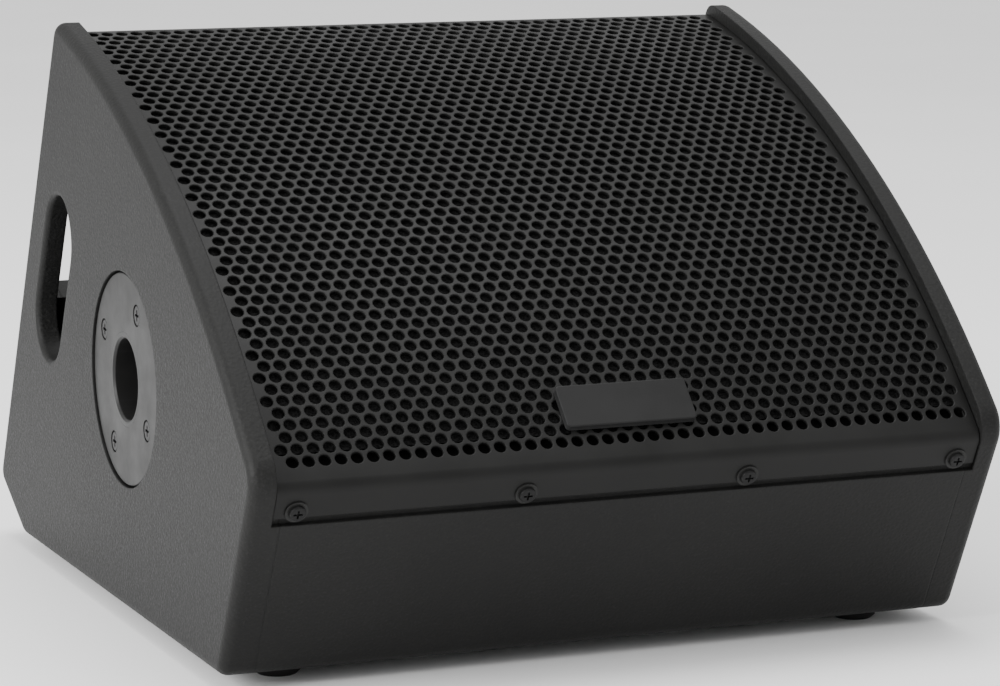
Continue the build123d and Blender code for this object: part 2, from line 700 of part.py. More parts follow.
with BuildPart() as amp_plate:
    with BuildSketch(AMP_FACE):
        with Locations((AMP_X, AMP_DOWN)):
            RectangleRounded(AMP_WIDTH, AMP_HEIGHT, 3)
            with GridLocations(*AMP_SCREW_GRID, 2, 3):
                Circle(SCREW_SHANK_R, mode=Mode.SUBTRACT)
        with Locations(*KNOB_PLACES):
            Circle(BUSH_R, mode=Mode.SUBTRACT)
        with Locations(*JACK_PLACES):
            Circle(JACK_BODY_R, mode=Mode.SUBTRACT)
            with Locations((0, -LATCH_UP)):
                Rectangle(LATCH_WIDTH + 3, LATCH_HEIGHT + 3, mode=Mode.SUBTRACT)
        with Locations(*LIGHT_PLACES):
            Circle(2.0, mode=Mode.SUBTRACT)
        with Locations(BUTTON_PLACE):
            Circle(4.0, mode=Mode.SUBTRACT)
        with Locations(INLET_PLACE):
            Rectangle(28, 21, mode=Mode.SUBTRACT)
        with Locations(ROCKER_PLACE):
            Rectangle(13, 21, mode=Mode.SUBTRACT)
    extrude(amount=-AMP_PLATE)
save(amp_plate, "amp_plate")

amp_screw_spots = [
    (AMP_X + column * AMP_SCREW_GRID[0] / 2, AMP_DOWN + row * AMP_SCREW_GRID[1])
    for column in (-1, 1)
    for row in (-1, 0, 1)
]
save(screws(AMP_FACE, amp_screw_spots, 3.8, 2.0, 12), "amp_screws")

with BuildPart() as heat_sink:
    with BuildSketch(AMP_FACE):
        with Locations((AMP_X, SINK_DOWN)):
            Rectangle(SINK_WIDTH, SINK_LENGTH)
    extrude(amount=SINK_BASE)
    with BuildSketch(AMP_FACE.offset(SINK_BASE)):
        with Locations((AMP_X, SINK_DOWN)):
            with GridLocations((SINK_WIDTH - FIN_THICKNESS) / (FIN_COUNT - 1), 0, FIN_COUNT, 1):
                Rectangle(FIN_THICKNESS, SINK_LENGTH)
    extrude(amount=FIN_HEIGHT)
save(heat_sink, "heat_sink")


def jack_screw_spots(place):
    """The two screws in opposite corners of a connector's flange."""
    return [(place[0] + 9.6 * way, place[1] + 12.4 * way) for way in (-1, 1)]


def jack(place, male):
    """A round three-pole connector in a square flange: a socket with a latch, or pins without one."""
    with BuildPart() as body:
        with BuildSketch(AMP_FACE):
            with Locations(place):
                RectangleRounded(26, 31, 2.5)
        extrude(amount=JACK_FLANGE)
        with BuildSketch(AMP_FACE):
            with Locations(place):
                Circle(JACK_BODY_R)
                with Locations((0, -LATCH_UP)):
                    Rectangle(LATCH_WIDTH + 3, LATCH_HEIGHT + 3)
        extrude(amount=-8)
        with BuildSketch(AMP_FACE.offset(-8)):
            with Locations(place):
                Circle(JACK_BODY_R)
        extrude(amount=-14)
        with BuildSketch(AMP_FACE.offset(JACK_FLANGE)):
            with Locations(place):
                Circle(JACK_BORE_R)
        extrude(amount=-JACK_DEPTH, mode=Mode.SUBTRACT)
        with BuildSketch(AMP_FACE.offset(JACK_FLANGE)):
            with Locations(*jack_screw_spots(place)):
                Circle(JACK_SCREW_R)
        extrude(amount=-JACK_FLANGE, mode=Mode.SUBTRACT)
        if male:
            with BuildSketch(AMP_FACE.offset(JACK_FLANGE - JACK_DEPTH)):
                with Locations(place):
                    with PolarLocations(4.8, 3, 30):
                        Circle(1.2)
            extrude(amount=PIN_HEIGHT)
        else:
            with BuildSketch(AMP_FACE.offset(JACK_FLANGE)):
                with Locations(place):
                    with Locations((0, -LATCH_UP)):
                        Rectangle(LATCH_WIDTH + 2 * LATCH_GAP, LATCH_HEIGHT + 2 * LATCH_GAP)
            extrude(amount=-7, mode=Mode.SUBTRACT)
    return body


save(jack(JACK_PLACES[0], False), "input_socket_1")
save(jack(JACK_PLACES[1], False), "input_socket_2")
save(jack(JACK_PLACES[2], True), "link_socket")

for number in (1, 2):
    x, down = JACK_PLACES[number - 1]
    with BuildPart() as latch:
        with BuildSketch(AMP_FACE.offset(JACK_FLANGE + 1.6)):
            with Locations((x, down - LATCH_UP)):
                RectangleRounded(LATCH_WIDTH, LATCH_HEIGHT, 0.6)
        extrude(amount=-5)
        fillet(faces().sort_by(Axis(AMP_FACE.origin, AMP_FACE.z_dir))[-1].edges(), 0.4)
    save(latch, f"input_latch_{number}")

all_jack_screws = [spot for place in JACK_PLACES for spot in jack_screw_spots(place)]
jack_face = AMP_FACE.offset(JACK_FLANGE)
save(screws(jack_face, all_jack_screws, 2.4, 1.2, JACK_FLANGE, JACK_SCREW_R), "socket_screws")

with BuildPart() as mains_inlet:
    with BuildSketch(AMP_FACE):
        with Locations(INLET_PLACE):
            RectangleRounded(50, 27, 3)
    extrude(amount=JACK_FLANGE)
    with BuildSketch(AMP_FACE):
        with Locations(INLET_PLACE):
            Rectangle(28, 21)
    extrude(amount=-20)
    with BuildSketch(AMP_FACE.offset(JACK_FLANGE)):
        with Locations(INLET_PLACE):
            RectangleRounded(24.5, 16.5, 3)
    extrude(amount=-17, mode=Mode.SUBTRACT)
    with BuildSketch(AMP_FACE.offset(JACK_FLANGE - 17)):
        with Locations(INLET_PLACE):
            with Locations((-7, -2), (0, 2), (7, -2)):
                Rectangle(2, 4)
    extrude(amount=8)
save(mains_inlet, "mains_inlet")

ROCKER_LENGTH_R = 8.6
ROCKER_WIDTH = 11.0
ROCKER_SINK = 1.0
ROCKER_TILT = 8.0
ROCKER_PIVOT = point(REAR, REAR_LENGTH - ROCKER_PLACE[1], AMP_INSET + ROCKER_SINK)
with BuildPart() as power_switch:
    with BuildSketch(AMP_FACE):
        with Locations(ROCKER_PLACE):
            RectangleRounded(16, 24, 2)
    extrude(amount=1.6)
    with BuildSketch(AMP_FACE):
        with Locations(ROCKER_PLACE):
            Rectangle(13, 21)
    extrude(amount=-18)
    with BuildSketch(AMP_FACE.offset(1.6)):
        with Locations(ROCKER_PLACE):
            Rectangle(ROCKER_WIDTH + 0.5, 2 * ROCKER_LENGTH_R + 0.6)
    extrude(amount=-13, mode=Mode.SUBTRACT)
save(power_switch, "power_switch")

with BuildPart() as power_rocker:
    with BuildSketch(Plane.YZ.offset(ROCKER_PLACE[0] - ROCKER_WIDTH / 2)):
        tilt = REAR_ANGLE - 180 + ROCKER_TILT
        with Locations(Location((ROCKER_PIVOT.X, ROCKER_PIVOT.Y, 0), (0, 0, tilt))):
            Circle(ROCKER_LENGTH_R)
            Polygon((0, 3.0), (-9, 5.2), (-9, 9), (9, 9), (9, 5.2), align=None, mode=Mode.SUBTRACT)
    extrude(amount=ROCKER_WIDTH)
save(power_rocker, "power_rocker")

with BuildPart() as mode_switch:
    with BuildSketch(AMP_FACE):
        with Locations(BUTTON_PLACE):
            Circle(4.0)
            Circle(3.2, mode=Mode.SUBTRACT)
    extrude(amount=-AMP_PLATE)
    with BuildSketch(AMP_FACE.offset(-AMP_PLATE)):
        with Locations(BUTTON_PLACE):
            Rectangle(11, 11)
            Circle(3.2, mode=Mode.SUBTRACT)
    extrude(amount=-10)
save(mode_switch, "mode_switch")

with BuildPart() as mode_button:
    with BuildSketch(AMP_FACE.offset(4.5)):
        with Locations(BUTTON_PLACE):
            Circle(3.15)
    extrude(amount=-14)
    fillet(faces().sort_by(Axis(AMP_FACE.origin, AMP_FACE.z_dir))[-1].edges(), 0.6)
save(mode_button, "mode_button")

with BuildPart() as indicator_lights:
    with BuildSketch(AMP_FACE.offset(-4)):
        with Locations(*LIGHT_PLACES):
            Circle(2.0)
    extrude(amount=5.2)
    fillet(faces().group_by(Axis(AMP_FACE.origin, AMP_FACE.z_dir))[-1].edges(), 0.9)
save(indicator_lights, "indicator_lights")

with BuildPart() as control_pots:
    with BuildSketch(AMP_FACE.offset(1)):
        with Locations(*KNOB_PLACES):
            Circle(BUSH_R)
            Circle(KNOB_SHAFT_R + RUNNING_GAP, mode=Mode.SUBTRACT)
    extrude(amount=-1 - AMP_PLATE)
    with BuildSketch(AMP_FACE.offset(-AMP_PLATE)):
        with Locations(*KNOB_PLACES):
            Rectangle(17, 17)
            Circle(KNOB_SHAFT_R + RUNNING_GAP, mode=Mode.SUBTRACT)
    extrude(amount=-8)
    with BuildSketch(AMP_FACE.offset(-AMP_PLATE - 8)):
        with Locations(*KNOB_PLACES):
            Rectangle(17, 17)
    extrude(amount=-2)
save(control_pots, "control_pots")

KNOB_NAMES = ("level_knob_1", "level_knob_2", "low_knob", "high_knob")
KNOB_BASE = 1.5
KNOB_HEIGHT = 10.0
SHAFT_END = -9.5
for place, name in zip(KNOB_PLACES, KNOB_NAMES):
    with BuildPart() as knob:
        with BuildSketch(AMP_FACE.offset(KNOB_BASE)):
            with Locations(place):
                Circle(KNOB_R)
        extrude(amount=KNOB_HEIGHT, taper=4)
        top_face = faces().sort_by(Axis(AMP_FACE.origin, AMP_FACE.z_dir))[-1]
        fillet(top_face.edges(), 0.8)
        with BuildSketch(AMP_FACE.offset(KNOB_BASE)):
            with Locations(place):
                with PolarLocations(KNOB_R + 0.7, 12):
                    Circle(1.3)
        extrude(amount=KNOB_HEIGHT * 0.8, mode=Mode.SUBTRACT)
        with BuildSketch(AMP_FACE.offset(KNOB_BASE + KNOB_HEIGHT)):
            with Locations((place[0], place[1] - KNOB_R / 2)):
                Rectangle(1.0, KNOB_R * 0.7)
        extrude(amount=-0.6, mode=Mode.SUBTRACT)
        with BuildSketch(AMP_FACE.offset(KNOB_BASE)):
            with Locations(place):
                Circle(KNOB_SHAFT_R)
        extrude(amount=SHAFT_END - KNOB_BASE)
    save(knob, name)

BOARD_DEPTH = 40.0
BOARD_HOLES = [(AMP_X + x, down) for x in (-78, 78) for down in (56, 204)]
with BuildPart() as amp_board:
    with BuildSketch(AMP_FACE.offset(-BOARD_DEPTH)):
        with Locations((AMP_X, AMP_DOWN)):
            Rectangle(168, 156)
        with Locations(*BOARD_HOLES):
            Circle(1.6, mode=Mode.SUBTRACT)
    extrude(amount=-1.6)
save(amp_board, "amp_board")

with BuildPart() as board_standoffs:
    with BuildSketch(AMP_FACE.offset(-AMP_PLATE)):
        with Locations(*BOARD_HOLES):
            Circle(3.0)
    extrude(amount=-(BOARD_DEPTH - AMP_PLATE))
save(board_standoffs, "board_standoffs")

with BuildPart() as amp_capacitors:
    with BuildSketch(AMP_FACE.offset(-BOARD_DEPTH)):
        with Locations((AMP_X + 20, 78), (AMP_X + 42, 78), (AMP_X + 64, 78), (AMP_X + 42, 102)):
            Circle(9)
    extrude(amount=28)
save(amp_capacitors, "amp_capacitors")

with BuildPart() as amp_transformer:
    with BuildSketch(AMP_FACE.offset(-BOARD_DEPTH)):
        with Locations((AMP_X - 45, 84)):
            RectangleRounded(52, 44, 3)
    extrude(amount=28)
    fillet(faces().sort_by(Axis(AMP_FACE.origin, AMP_FACE.z_dir))[-1].edges(), 2)
save(amp_transformer, "amp_transformer")
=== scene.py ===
from math import atan2, cos, pi, radians, sin, sqrt

import bmesh
import bpy
from mathutils import Matrix, Vector, noise


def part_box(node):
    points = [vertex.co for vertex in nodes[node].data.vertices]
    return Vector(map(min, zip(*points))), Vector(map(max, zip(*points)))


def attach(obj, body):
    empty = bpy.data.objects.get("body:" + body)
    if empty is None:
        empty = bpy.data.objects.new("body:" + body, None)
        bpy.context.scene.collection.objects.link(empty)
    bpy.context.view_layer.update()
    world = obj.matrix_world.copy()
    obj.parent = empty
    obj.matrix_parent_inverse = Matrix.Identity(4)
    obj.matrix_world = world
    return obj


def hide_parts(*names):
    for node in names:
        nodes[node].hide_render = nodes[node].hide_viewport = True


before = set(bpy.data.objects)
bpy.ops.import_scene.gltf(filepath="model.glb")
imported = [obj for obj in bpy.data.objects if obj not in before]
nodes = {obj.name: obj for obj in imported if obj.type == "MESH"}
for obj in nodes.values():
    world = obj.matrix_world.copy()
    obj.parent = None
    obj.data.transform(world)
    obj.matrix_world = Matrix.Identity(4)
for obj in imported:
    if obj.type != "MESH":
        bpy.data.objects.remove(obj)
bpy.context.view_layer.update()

# ---------------------------------------------------------------- sizes, metres
MM = 0.001
BASE_Z = 7 * MM

# The cabinet's side outline, as (Y, Z) corners before rounding, and its curved front.
KICK_TOP = Vector((-196.1 * MM, BASE_Z + 91.2 * MM))
FRONT_FOOT = Vector((-150.5 * MM, BASE_Z))
KNEE = Vector((195.0 * MM, BASE_Z + 22.3 * MM))
TOP = Vector((84.8 * MM, BASE_Z + 256.3 * MM))
FRONT_R = 532.8 * MM

# The grille's sheet: its outer face lies below the side panels' edges.
SHEET = 1.5 * MM
GRILLE_DROP = 5.6 * MM
FLANGE_DROP = 0.9 * MM
FLANGE_LENGTH = 20.4 * MM
REAR_FLANGE_LENGTH = 26.0 * MM
BEND_R = 5.0 * MM + SHEET / 2
REAR_BEND_R = 3.0 * MM + SHEET / 2
GRILLE_HALF = 161.5 * MM

# The perforation: round holes in staggered rows.
PITCH = 7.0 * MM
ROW_STEP = PITCH * sqrt(3) / 2
HOLE_R = 2.72 * MM
ROWS = 52
HOLES_PER_ROW = 45
FIRST_ROW_ANGLE = radians(137.0)
FIRST_HOLE_X = -152.25 * MM
HOLE_SIDES = 12

RIM = 0.35 * MM

# The amplifier module's face lies this far inside the back's line, and these places are on it,
# as (X, distance down the back from the top edge).
AMP_INSET = 9.6 * MM
KNOB_PLACES = [(x * MM, 128 * MM) for x in (-40, -14, 12, 38)]
INPUT_PLACES = [(x * MM, 176 * MM) for x in (-36, -4)]
MARKS_PER_KNOB = 11


def line_point(start, end, along, inset):
    """A point that far along a (Y, Z) line and that far to its left."""
    step = (end - start).normalized()
    return start + step * along + Vector((-step.y, step.x)) * inset


def curve_centre():
    """Centre of the front curve."""
    chord = (TOP - KICK_TOP).length
    return line_point(TOP, KICK_TOP, chord / 2, sqrt(FRONT_R**2 - (chord / 2) ** 2))


CENTRE = curve_centre()


def on_curve(radius, angle):
    """A (Y, Z) point on a circle about the front curve's centre."""
    return CENTRE + Vector((cos(angle), sin(angle))) * radius


# ---------------------------------------------------------------- materials
def new_material(name):
    """An empty node material: its tree, its surface shader and its object coordinates."""
    material = bpy.data.materials.new(name)
    material.use_nodes = True
    tree = material.node_tree
    shader = tree.nodes["Principled BSDF"]
    coords = tree.nodes.new("ShaderNodeTexCoord").outputs["Object"]
    return material, tree, shader, coords


def add_noise(tree, coords, scale, detail=3.0, rough=0.55):
    """Noise over object coordinates."""
    node = tree.nodes.new("ShaderNodeTexNoise")
    node.inputs["Scale"].default_value = scale
    node.inputs["Detail"].default_value = detail
    node.inputs["Roughness"].default_value = rough
    tree.links.new(coords, node.inputs["Vector"])
    return node.outputs["Fac"]


def add_ramp(tree, source, stops):
    """A colour ramp through (position, colour) stops."""
    node = tree.nodes.new("ShaderNodeValToRGB")
    elements = node.color_ramp.elements
    while len(elements) < len(stops):
        elements.new(0.5)
    for element, (position, colour) in zip(elements, stops):
        element.position = position
        element.color = (*colour, 1)
    tree.links.new(source, node.inputs["Fac"])
    return node.outputs["Color"]


def add_range(tree, source, low, high, out_low, out_high):
    """Maps a value's range to another."""
    node = tree.nodes.new("ShaderNodeMapRange")
    node.inputs["From Min"].default_value = low
    node.inputs["From Max"].default_value = high
    node.inputs["To Min"].default_value = out_low
    node.inputs["To Max"].default_value = out_high
    tree.links.new(source, node.inputs["Value"])
    return node.outputs["Result"]


def add_bump(tree, height, distance, strength=1.0, under=None):
    """A bump, laid over another one if given."""
    node = tree.nodes.new("ShaderNodeBump")
    node.inputs["Strength"].default_value = strength
    node.inputs["Distance"].default_value = distance
    tree.links.new(height, node.inputs["Height"])
    if under is not None:
        tree.links.new(under, node.inputs["Normal"])
    return node.outputs["Normal"]


def add_edge_wear(tree, colour, wear_colour, amount):
    """Mixes a paler colour in where the surface is sharply convex."""
    geometry = tree.nodes.new("ShaderNodeNewGeometry")
    edge = add_range(tree, geometry.outputs["Pointiness"], 0.52, 0.60, 0.0, amount)
    mix = tree.nodes.new("ShaderNodeMix")
    mix.data_type = "RGBA"
    tree.links.new(edge, mix.inputs["Factor"])
    tree.links.new(colour, mix.inputs["A"])
    mix.inputs["B"].default_value = (*wear_colour, 1)
    return mix.outputs["Result"]


def rounded(tree, radius):
    """Normals of a slightly rounded edge."""
    node = tree.nodes.new("ShaderNodeBevel")
    node.samples = 4
    node.inputs["Radius"].default_value = radius
    return node.outputs["Normal"]


def textured_paint(name, base, grain, bump, roughness, edge_radius, specular=0.15):
    """Tough sprayed paint: a fine pebbled grain, with painted highlights as paler specks on its tops and
    painted shade darkening its hollows.
    """
    material, tree, shader, coords = new_material(name)
    cells = tree.nodes.new("ShaderNodeTexVoronoi")
    cells.feature = "SMOOTH_F1"
    cells.inputs["Scale"].default_value = grain
    cells.inputs["Smoothness"].default_value = 0.6
    tree.links.new(coords, cells.inputs["Vector"])
    fine = add_noise(tree, coords, grain * 1.7, 4, 0.6)
    broad = add_noise(tree, coords, 9, 3, 0.5)
    # Paler specks where the fine noise is high and darker ones where it is low: painted highlight on the
    # grain's tops and painted shade in its hollows, from the same noise that bumps the surface.
    dark = tuple(channel * 0.72 for channel in base)
    light = tuple(min(1, channel * 1.9) for channel in base)
    painted_grain_light_and_shade = add_ramp(tree, fine, ((0.36, dark), (0.56, base), (0.72, light)))
    cloud = add_ramp(tree, broad, ((0.3, (0.86, 0.86, 0.86)), (0.7, (1.1, 1.1, 1.09))))
    mix = tree.nodes.new("ShaderNodeMix")
    mix.data_type = "RGBA"
    mix.blend_type = "MULTIPLY"
    mix.inputs["Factor"].default_value = 1.0
    tree.links.new(painted_grain_light_and_shade, mix.inputs["A"])
    tree.links.new(cloud, mix.inputs["B"])
    tree.links.new(mix.outputs["Result"], shader.inputs["Base Color"])
    gloss = add_range(tree, fine, 0.3, 0.7, roughness - 0.1, roughness + 0.12)
    tree.links.new(gloss, shader.inputs["Roughness"])
    shader.inputs["Specular IOR Level"].default_value = specular
    under = rounded(tree, edge_radius)
    pebbles = add_bump(tree, cells.outputs["Distance"], bump, 0.7, under)
    tree.links.new(add_bump(tree, fine, bump * 0.6, 0.8, pebbles), shader.inputs["Normal"])
    return material


def smooth_finish(
    name,
    base,
    roughness,
    metallic=0.0,
    grain=900,
    bump=0.00002,
    edge_radius=0.0004,
    wear=None,
    coat=0.0,
    specular=0.16,
):
    """A moulded, coated or metal finish with fine grain, faint smudges and worn edges."""
    material, tree, shader, coords = new_material(name)
    fine = add_noise(tree, coords, grain, 3, 0.6)
    smudge = add_noise(tree, coords, 35, 4, 0.6)
    dark = tuple(channel * 0.86 for channel in base)
    light = tuple(min(1, channel * 1.14) for channel in base)
    colour = add_ramp(tree, smudge, ((0.35, dark), (0.65, light)))
    if wear is not None:
        colour = add_edge_wear(tree, colour, wear, 0.6)
    tree.links.new(colour, shader.inputs["Base Color"])
    gloss = add_range(tree, smudge, 0.3, 0.7, roughness - 0.06, roughness + 0.08)
    tree.links.new(gloss, shader.inputs["Roughness"])
    shader.inputs["Metallic"].default_value = metallic
    shader.inputs["Coat Weight"].default_value = coat
    shader.inputs["Specular IOR Level"].default_value = specular
    grainy = add_bump(tree, fine, bump, 0.8, rounded(tree, edge_radius))
    tree.links.new(grainy, shader.inputs["Normal"])
    return material


def brushed_metal(name, base, roughness, stretch):
    """Metal with fine scratches drawn out along one axis."""
    material, tree, shader, coords = new_material(name)
    mapping = tree.nodes.new("ShaderNodeMapping")
    mapping.inputs["Scale"].default_value = stretch
    tree.links.new(coords, mapping.inputs["Vector"])
    scratches = add_noise(tree, mapping.outputs["Vector"], 700, 2, 0.5)
    dark = tuple(channel * 0.8 for channel in base)
    tree.links.new(add_ramp(tree, scratches, ((0.3, dark), (0.7, base))), shader.inputs["Base Color"])
    gloss = add_range(tree, scratches, 0.3, 0.7, roughness - 0.08, roughness + 0.1)
    tree.links.new(gloss, shader.inputs["Roughness"])
    shader.inputs["Metallic"].default_value = 1.0
    tree.links.new(add_bump(tree, scratches, 0.00001, 0.7, rounded(tree, 0.0003)), shader.inputs["Normal"])
    return material


def open_foam(name):
    """Black open-cell foam."""
    material, tree, shader, coords = new_material(name)
    cells = tree.nodes.new("ShaderNodeTexVoronoi")
    cells.inputs["Scale"].default_value = 900
    tree.links.new(coords, cells.inputs["Vector"])
    pores = cells.outputs["Distance"]
    # Darker at the pores' centres, which the bump sinks into pits: painted shade in the pits.
    colour = add_ramp(tree, pores, ((0.1, (0.001, 0.001, 0.001)), (0.7, (0.008, 0.008, 0.008))))
    tree.links.new(colour, shader.inputs["Base Color"])
    shader.inputs["Roughness"].default_value = 1.0
    shader.inputs["Specular IOR Level"].default_value = 0.1
    tree.links.new(add_bump(tree, pores, 0.0006), shader.inputs["Normal"])
    return material


def glowing(name, colour, strength):
    """A small lit lens."""
    material = smooth_finish(name, colour, 0.25, coat=0.5)
    shader = material.node_tree.nodes["Principled BSDF"]
    shader.inputs["Emission Color"].default_value = (*colour, 1)
    shader.inputs["Emission Strength"].default_value = strength
    return material


CABINET = textured_paint("cabinet_paint", (0.0105, 0.0105, 0.0102), 620, 0.00016, 0.52, 0.0012)
INNER = textured_paint("inner_paint", (0.005, 0.005, 0.005), 520, 0.00012, 0.75, 0.0008)
GRILLE = smooth_finish(
    "grille_coat", (0.0070, 0.0070, 0.0067), 0.42, grain=1500, bump=0.00003, edge_radius=0.0003
)
STEEL_BLACK = smooth_finish(
    "black_steel", (0.009, 0.009, 0.009), 0.4, 0.2, 1400, 0.00002, 0.0003, (0.025, 0.025, 0.024)
)
PLATE = smooth_finish(
    "socket_plate", (0.0125, 0.0125, 0.0122), 0.42, 0.0, 1200, 0.00003, 0.0005, (0.03, 0.03, 0.03)
)
RUBBER = smooth_finish("rubber", (0.016, 0.016, 0.016), 0.8, grain=700, bump=0.00006, edge_radius=0.0006)
PLASTIC = smooth_finish("black_plastic", (0.018, 0.018, 0.019), 0.45, grain=1100, bump=0.00004)
KNOB = smooth_finish(
    "knob_plastic", (0.045, 0.045, 0.047), 0.5, grain=1300, bump=0.00003, wear=(0.09, 0.09, 0.09)
)
BADGE = smooth_finish(
    "badge_plastic", (0.010, 0.010, 0.010), 0.4, 0, 1600, 0.00001, 0.0005, (0.04, 0.04, 0.04)
)
AMP_PAINT = smooth_finish("amp_coat", (0.026, 0.026, 0.028), 0.5, grain=1000, bump=0.00006)
SINK = brushed_metal("anodised_fins", (0.045, 0.045, 0.048), 0.42, (1, 1, 12))
NICKEL = brushed_metal("nickel", (0.55, 0.55, 0.53), 0.28, (8, 1, 1))
ZINC = brushed_metal("zinc", (0.6, 0.6, 0.58), 0.35, (1, 6, 1))
IRON = smooth_finish("plated_iron", (0.42, 0.42, 0.4), 0.4, 0.9)
FERRITE = smooth_finish("ferrite", (0.045, 0.045, 0.047), 0.6)
PAPER = smooth_finish("cone_paper", (0.02, 0.02, 0.02), 0.85, grain=400, bump=0.0001)
CLOTH = smooth_finish("treated_cloth", (0.55, 0.36, 0.12), 0.8, grain=500, bump=0.0001)
COPPER = brushed_metal("winding", (0.72, 0.36, 0.2), 0.35, (1, 1, 20))
BOARD = smooth_finish("solder_mask", (0.02, 0.14, 0.05), 0.35, coat=0.3)
SLEEVE = smooth_finish("capacitor_sleeve", (0.02, 0.03, 0.09), 0.3, coat=0.4)
PRINT = smooth_finish("white_print", (0.62, 0.62, 0.6), 0.6, grain=600, bump=0.00001)
LENS = glowing("lens", (0.08, 0.5, 0.16), 0.4)
FOAM = open_foam("foam")

NODE_MATERIALS = {
    CABINET: (
        "side_panel_left",
        "side_panel_right",
        "kick_panel",
        "bottom_panel",
        "chamfer_panel",
        "rear_panel",
    ),
    INNER: ("baffle", "handle_box"),
    PLATE: ("pole_socket_plate", "pole_socket_cup"),
    STEEL_BLACK: (
        "grille_screws",
        "grille_washers",
        "pole_socket_screws",
        "amp_screws",
        "foot_screws",
        "socket_screws",
    ),
    RUBBER: (
        "foot_front_left",
        "foot_front_right",
        "foot_rear_left",
        "foot_rear_right",
        "driver_surround",
        "driver_gasket",
    ),
    BADGE: ("badge",),
    AMP_PAINT: ("amp_plate", "driver_frame"),
    SINK: ("heat_sink",),
    PLASTIC: (
        "input_socket_1",
        "input_socket_2",
        "link_socket",
        "mains_inlet",
        "power_switch",
        "mode_switch",
        "control_pots",
        "horn",
        "compression_driver",
        "ports",
        "power_rocker",
    ),
    KNOB: ("level_knob_1", "level_knob_2", "low_knob", "high_knob", "mode_button"),
    NICKEL: ("input_latch_1", "input_latch_2"),
    ZINC: ("driver_screws", "driver_nuts", "board_standoffs"),
    IRON: ("driver_top_plate", "driver_back_plate", "driver_pole", "amp_transformer"),
    FERRITE: ("driver_magnet",),
    PAPER: ("driver_cone",),
    CLOTH: ("driver_spider",),
    COPPER: ("voice_coil",),
    BOARD: ("amp_board",),
    SLEEVE: ("amp_capacitors",),
    LENS: ("indicator_lights",),
}
for material, names in NODE_MATERIALS.items():
    for name in names:
        nodes[name].data.materials.clear()
        nodes[name].data.materials.append(material)


# ---------------------------------------------------------------- pieces
def new_piece(name, verts, faces, material, smooth_angle=radians(35)):
    """A mesh object from vertices and faces, merged, facing outwards and shaded by angle."""
    mesh = bpy.data.meshes.new(name)
    build = bmesh.new()
    made = [build.verts.new(vert) for vert in verts]
    for face in faces:
        build.faces.new([made[index] for index in face])
    bmesh.ops.remove_doubles(build, verts=build.verts, dist=1e-6)
    bmesh.ops.recalc_face_normals(build, faces=build.faces)
    for edge in build.edges:
        edge.smooth = len(edge.link_faces) == 2 and edge.calc_face_angle(pi) < smooth_angle
    for face in build.faces:
        face.smooth = True
    build.to_mesh(mesh)
    build.free()
    piece = bpy.data.objects.new(name, mesh)
    bpy.context.scene.collection.objects.link(piece)
    mesh.materials.append(material)
    return piece


def bend_centre(origin, way, inward, outer, bend):
    """Centre of a bend that touches a flange's line and the front curve from inside."""
    base = origin + inward * bend
    to_centre = CENTRE - base
    along = to_centre.dot(way)
    reach = outer - bend
    return base + way * (along - sqrt(reach**2 - to_centre.length**2 + along**2))


def arc_points(centre, radius, start, end, count):
    """Points and outward normals round an arc, ends included."""
    angles = [start + (end - start) * step / count for step in range(count + 1)]
    return [(centre + Vector((cos(a), sin(a))) * radius, Vector((cos(a), sin(a)))) for a in angles]


def angle_of(vector):
    """Direction of a (Y, Z) vector."""
    return atan2(vector.y, vector.x)


def grille_profile():
    """The sheet's outer face below and above the holes: two lists of (point, normal), ends first and last."""
    outer = FRONT_R - GRILLE_DROP
    kick_way = (FRONT_FOOT - KICK_TOP).normalized()
    kick_in = Vector((-kick_way.y, kick_way.x))
    rear_way = (KNEE - TOP).normalized()
    rear_in = Vector((rear_way.y, -rear_way.x))
    flange_end = line_point(KICK_TOP, FRONT_FOOT, FLANGE_LENGTH, FLANGE_DROP)
    rear_end = line_point(TOP, KNEE, REAR_FLANGE_LENGTH, -FLANGE_DROP)
    low = bend_centre(flange_end, kick_way, kick_in, outer, BEND_R)
    low_start = angle_of(-kick_in) % (2 * pi)
    low_end = angle_of(low - CENTRE)
    below = [(flange_end, -kick_in)]
    below += arc_points(low, BEND_R, low_start, low_end, 8)
    high = bend_centre(rear_end, rear_way, rear_in, outer, REAR_BEND_R)
    high_start = angle_of(high - CENTRE)
    high_end = angle_of(-rear_in)
    above = arc_points(high, REAR_BEND_R, high_start, high_end, 8)
    above += [(rear_end, -rear_in)]
    return outer, below, above, low_end, high_start


